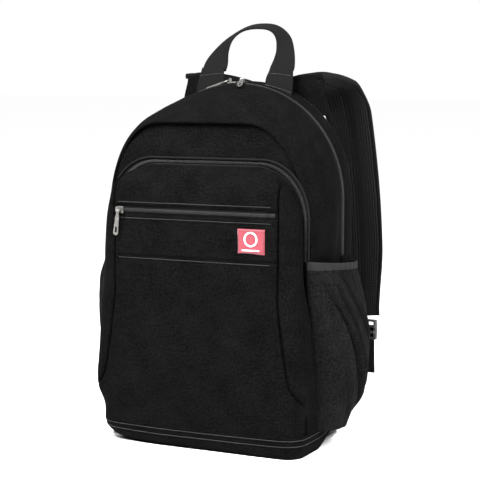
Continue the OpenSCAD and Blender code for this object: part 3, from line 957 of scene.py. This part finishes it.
def handle_anchors(mats):
    for side in ("left", "right"):
        low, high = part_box("handle_anchor_" + side)
        cx = (low.x + high.x) / 2
        x = np.linspace(low.x + 1 * MM, high.x - 1 * MM, 30)
        rise = np.linspace(0, 1, 24)[:, None]
        ground = BACK_Z + np.sqrt(BACK_R ** 2 - x ** 2) - 1.5 * MM
        z = ground - 6 * MM + (high.z + 12 * MM - ground) * rise
        y = low.y - 2 * MM + 12 * MM * rise ** 1.5
        taper = 1.04 - 0.16 * smooth((rise - 0.45) / 0.55)
        points = xyz(cx + (x - cx) * taper, y, z)
        patch = cloth("handle_patch_" + side, points, 3 * MM, mats["webbing"])
        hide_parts("handle_anchor_" + side)
        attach(patch, "bag")
        rows = [(points[i] + FORWARD * 0.2 * MM, (0, -1, 0.2)) for i in (5, 17)]
        thread = stitches("handle_patch_stitching_" + side, rows, mats["thread"])
        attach(thread, "bag")


# ---------------------------------------------------------------- shoulder straps

ROOT = (91 * MM, 479 * MM)
SPLAY = math.radians(5.3)
STRAP_X = 82 * MM
STRAP_W, STRAP_THICK = 62 * MM, 14 * MM


def bezier(p, t):
    p = np.asarray(p, float)
    t = t[:, None]
    return (1 - t) ** 3 * p[0] + 3 * (1 - t) ** 2 * t * p[1] + 3 * (1 - t) * t ** 2 * p[2] + t ** 3 * p[3]


def strap_middle(count):
    """Middle line of a shoulder strap in Y and Z: near its CAD solid's, but rounder at the shoulder."""
    over = [(91, 483), (125, 486), (165, 481.5), (203, 474)]
    turn = [(203, 474), (226, 469.5), (233, 455), (233, 400)]
    hang = [(233, 400), (234, 320), (231, 220), (224, 138.5)]
    t = np.linspace(0, 1, 60)
    return resample(np.vstack([bezier(over, t), bezier(turn, t)[1:], bezier(hang, t)[1:]]) * MM, count)


def splayed(points, s):
    """Leans a strap's points outwards about its root."""
    out = points.copy()
    dx, dz = points[..., 0] - s * STRAP_X, points[..., 2] - ROOT[1]
    out[..., 0] = s * STRAP_X + dx * math.cos(SPLAY) - s * dz * math.sin(SPLAY)
    out[..., 2] = ROOT[1] + dz * math.cos(SPLAY) + s * dx * math.sin(SPLAY)
    fall = np.clip((470 * MM - points[..., 2]) / (320 * MM), 0, 1)
    out[..., 0] += s * 5 * MM * np.sin(math.pi * fall) ** 1.2
    return out


def strap(side, mats):
    s = -1 if side == "left" else 1
    middle = strap_middle(190)
    path = xyz(s * STRAP_X, middle[:, 0], middle[:, 1])
    up = -unit(np.cross(RIGHTWARD, tangents(path)))
    columns = 64
    section = oval(STRAP_W - 3 * MM, STRAP_THICK - 1 * MM, columns, 2.9)
    run = np.linspace(0, 1, len(path))
    taper = 1 - 0.22 * smooth((run - 0.78) / 0.22)
    plump = 1 - 0.45 * smooth((run - 0.92) / 0.08) - 0.3 * smooth((0.06 - run) / 0.06)
    rings = swept(path, RIGHTWARD * taper[:, None], up * plump[:, None], section)
    inner_cut = 9 * MM * smooth((path[:, 2] - 385 * MM) / (70 * MM)) * smooth(run / 0.10)
    outer_cut = 8 * MM * smooth((path[:, 2] - 430 * MM) / (45 * MM))
    outward = s * section[:, 0] / (STRAP_W / 2)
    inset = inner_cut[:, None] * np.clip(-outward, 0, 1) + outer_cut[:, None] * np.clip(outward, 0, 1)
    rings[..., 0] -= s * inset
    groove = 3.0 * MM * bell(section[:, 0], 1.6 * MM) * (section[:, 1] > 0)
    rings -= groove[:, None] * up[:, None]
    rings += unit(rings - path[:, None]) * (wobble(rings, 30, 30 + s) * 1.1 * MM)[..., None]
    pad = tube("strap_pad_" + side, splayed(rings, s), path, section, mats["mesh"])
    pad.data.materials.append(mats["canvas"])
    for index, face in enumerate(pad.data.polygons):
        face.material_index = 1 if section[index % columns, 1] < -0.8 * MM else 0
    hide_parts("strap_" + side)
    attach(pad, "strap_" + side)
    for edge in (-1, 1):
        offset = edge * ((STRAP_W / 2 - 0.6 * MM) * taper + (inner_cut if edge * s < 0 else -outer_cut))
        line = splayed(path + RIGHTWARD * offset[:, None], s)
        name = "strap_binding_%s_%s" % (side, "inner" if edge * s < 0 else "outer")
        binding = sweep(name, line, RIGHTWARD, up, oval(3.4 * MM, 7.5 * MM, 14), mats["tape"])
        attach(binding, "strap_" + side)


def strap_roots(mats):
    for s, side in ((-1, "left"), (1, "right")):
        low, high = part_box("strap_root_" + side)
        cx = (low.x + high.x) / 2
        t = np.linspace(0, 1, 40)
        path = xyz(cx - s * 4 * MM * smooth(t), low.y + 6 * MM + 3 * MM * smooth((t - 0.6) / 0.4),
                   low.z - 6 * MM + (ROOT[1] - low.z + 10 * MM) * t)
        up = unit(np.cross(tangents(path), RIGHTWARD))
        across = RIGHTWARD * (1 - 0.14 * smooth(t))[:, None]
        section = oval(60 * MM, 11.5 * MM, 40, 3.0)
        piece = sweep("strap_root_pad_" + side, path, across, up, section, mats["canvas"])
        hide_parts("strap_root_" + side)
        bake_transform(piece)


def yoke(mats):
    low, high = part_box("strap_yoke")
    top = high.z + 4 * MM
    z = np.linspace(low.z, top, 20)[:, None]
    x = np.linspace(low.x, high.x, 90)
    edge = np.minimum(high.x - np.abs(x), np.minimum(z - low.z, top - z))
    x = x * np.minimum(1, (half_width(BACK_HALF, z) - 5 * MM) / high.x)
    y = BACK_Y + 0.5 * MM + 4.0 * MM * smooth(edge / (6 * MM))
    piece = cloth("yoke_cloth", xyz(x, y, z), 2 * MM, mats["canvas"], flip=True)
    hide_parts("strap_yoke")
    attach(piece, "bag")


def back_pads(mats):
    for side in ("left", "right"):
        low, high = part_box("back_pad_" + side)
        z = np.linspace(low.z, high.z, 90)[:, None]
        u, v = np.linspace(-1, 1, 40), np.linspace(-1, 1, 90)[:, None]
        x = (low.x + high.x) / 2 + u * (high.x - low.x) / 2 * (1 - 0.18 * np.abs(v) ** 9)
        crown = (1 - np.abs(u) ** 3.2).clip(0) ** 0.6 * (1 - np.abs(v) ** 14).clip(0) ** 0.6
        y = BACK_Y + 0.8 * MM + (high.y - low.y - 0.5 * MM) * crown
        for k in (-0.5, 0.0, 0.5):
            y -= 4.2 * MM * bell(v - k, 0.022) * crown
        pad = cloth("back_pad_cushion_" + side, xyz(x, y, z), 1.2 * MM, mats["mesh"], flip=True)
        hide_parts("back_pad_" + side)
        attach(pad, "bag")


def ladder_lock(side, mats):
    low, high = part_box("ladder_lock_" + side)
    cy = (low.y + high.y) / 2
    parts = []
    bow = cy + 1.5 * MM * np.sin(np.linspace(0, math.pi, 14))
    for x in (low.x + 2.5 * MM, high.x - 2.5 * MM):
        path = xyz(x, bow, np.linspace(low.z + 1 * MM, high.z - 1 * MM, 14))
        up = unit(np.cross(RIGHTWARD, tangents(path)))
        parts.append(sweep("rail", path, RIGHTWARD, up, oval(5 * MM, 7 * MM, 12, 3), mats["plastic"]))
    for z, depth in ((low.z + 2 * MM, 5), (low.z + 11 * MM, 6), (low.z + 20 * MM, 5), (high.z - 2 * MM, 6)):
        path = xyz(np.linspace(low.x + 2 * MM, high.x - 2 * MM, 12), cy, z)
        parts.append(sweep("bar", path, UPWARD, FORWARD, oval(4 * MM, depth * MM, 12, 2.6), mats["plastic"]))
    piece = join("ladder_lock_frame_" + side, parts)
    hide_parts("ladder_lock_" + side)
    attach(piece, "strap_" + side)


def webbing(side, mats):
    s = -1 if side == "left" else 1
    lock_low, lock_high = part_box("ladder_lock_" + side)
    tab_low, tab_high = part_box("anchor_tab_" + side)
    start = np.array([(lock_low.x + lock_high.x) / 2, (lock_low.y + lock_high.y) / 2, lock_low.z + 4 * MM])
    end = np.array([(tab_low.x + tab_high.x) / 2, tab_high.y + 1 * MM, (tab_low.z + tab_high.z) / 2 + 4 * MM])
    t = np.linspace(0, 1, 60)[:, None]
    path = start * (1 - t) + end * t - UPWARD * 9 * MM * np.sin(math.pi * t)
    along = tangents(path)
    flat = np.array([1.0, 0.25 * s, 0.0])
    across = unit(flat - (along @ flat)[:, None] * along)
    up = unit(np.cross(along, across))
    section = oval(WEBBING_W, 1.8 * MM, 16, 5)
    strip = sweep("lower_webbing_" + side, path, across, up, section, mats["webbing"])
    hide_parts("webbing_" + side)
    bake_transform(strip)
    low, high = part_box("webbing_tail_" + side)
    t = np.linspace(0, 1, 40)
    y = (low.y + high.y) / 2 - 3 * MM * np.exp(-t / 0.1) + 2.5 * MM * t ** 2
    path = xyz((low.x + high.x) / 2, y, np.linspace(high.z + 6 * MM, low.z, 40))
    up = unit(np.cross(tangents(path), RIGHTWARD))
    section = oval(WEBBING_W, 1.6 * MM, 16, 5)
    tail = sweep("webbing_tail_strip_" + side, path, RIGHTWARD, up, section, mats["webbing"])
    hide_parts("webbing_tail_" + side)
    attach(tail, "webbing_tail_" + side)


def anchor_tabs(mats):
    for s, side in ((-1, "left"), (1, "right")):
        low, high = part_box("anchor_tab_" + side)
        u, v = np.meshgrid(np.linspace(0, 1, 24), np.linspace(0, 1, 24))
        reach = (high.x - low.x) * u * (0.97 - 0.45 * np.abs(v - 0.45))
        x = high.x - reach if s > 0 else low.x + reach
        z = low.z + (high.z - low.z) * v
        edge = np.minimum.reduce([u, 1 - u, v, 1 - v])
        y = BACK_Y + 0.5 * MM + 4 * MM * smooth(edge / 0.12)
        piece = cloth("anchor_tab_cloth_" + side, xyz(x, y, z), 2 * MM, mats["canvas"], flip=s < 0)
        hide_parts("anchor_tab_" + side)
        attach(piece, "bag")


# ---------------------------------------------------------------- carried-over CAD nodes

def dress_cad(mats):
    for name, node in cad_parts.items():
        if "slider" in name or "pull" in name:
            paint, width = mats["nickel"], 0.35 * MM
        elif name == "sleeve_strap":
            paint, width = mats["lining"], 0.8 * MM
        else:
            paint, width = mats["lining"], 1.5 * MM
        if node.hide_render:
            continue
        node.data.materials.clear()
        node.data.materials.append(paint)
        bevel = node.modifiers.new("bevel", "BEVEL")
        bevel.width = width
        bevel.segments = 3
        bevel.limit_method = "ANGLE"


# ---------------------------------------------------------------- the whole bag

def make_materials():
    return {
        "canvas": canvas_material(),
        # Painted light: a copy of the canvas for the side pockets, with finer yarn, painted about twice as
        # bright as the body's for the key lamp on that side.
        "canvas_soft_painted_light": canvas_material("canvas_soft_painted_light", 0.0062, 0.8 * MM, 0.003),
        "mesh": air_mesh_material(),
        "webbing": ribbed_material("webbing", 0.0036, 1.6 * MM, 0.004),
        "elastic": ribbed_material("elastic", 0.013, 1.3 * MM, 0.005),
        "tape": ribbed_material("zipper_tape", 0.0034, 1.2 * MM, 0.005),
        "piping": ribbed_material("piping", 0.0055, 1.0 * MM, 0.005),
        "coil": coil_material(),
        "thread": thread_material("thread", 0.0085),
        "thread_red": thread_material("thread_red", 0.03),
        "nickel": nickel_material(),
        "plastic": plastic_material(),
        "lining": lining_material(),
        "label": label_material("label_red", (0.13, 0.005, 0.014, 1), (0.21, 0.010, 0.026, 1)),
        "label_white": label_material("label_white", (0.6, 0.58, 0.56, 1), (0.85, 0.84, 0.82, 1)),
    }


make_camera()
make_studio()
mats = make_materials()
for build in (front_panel, gusset, main_zipper, back_gusset, lower_side_fill, back_panel):
    build(mats)
face_at = surface_lookup(organiser(mats))
for build in (face_stitching, front_zipper):
    build(face_at, mats)
organiser_zipper(mats)
label(face_at, mats)
base_and_hem(mats)
for side in ("left", "right"):
    for build in (side_pocket, strap, ladder_lock, webbing):
        build(side, mats)
for build in (haul_handle, handle_anchors, strap_roots, yoke, back_pads, anchor_tabs, dress_cad):
    build(mats)
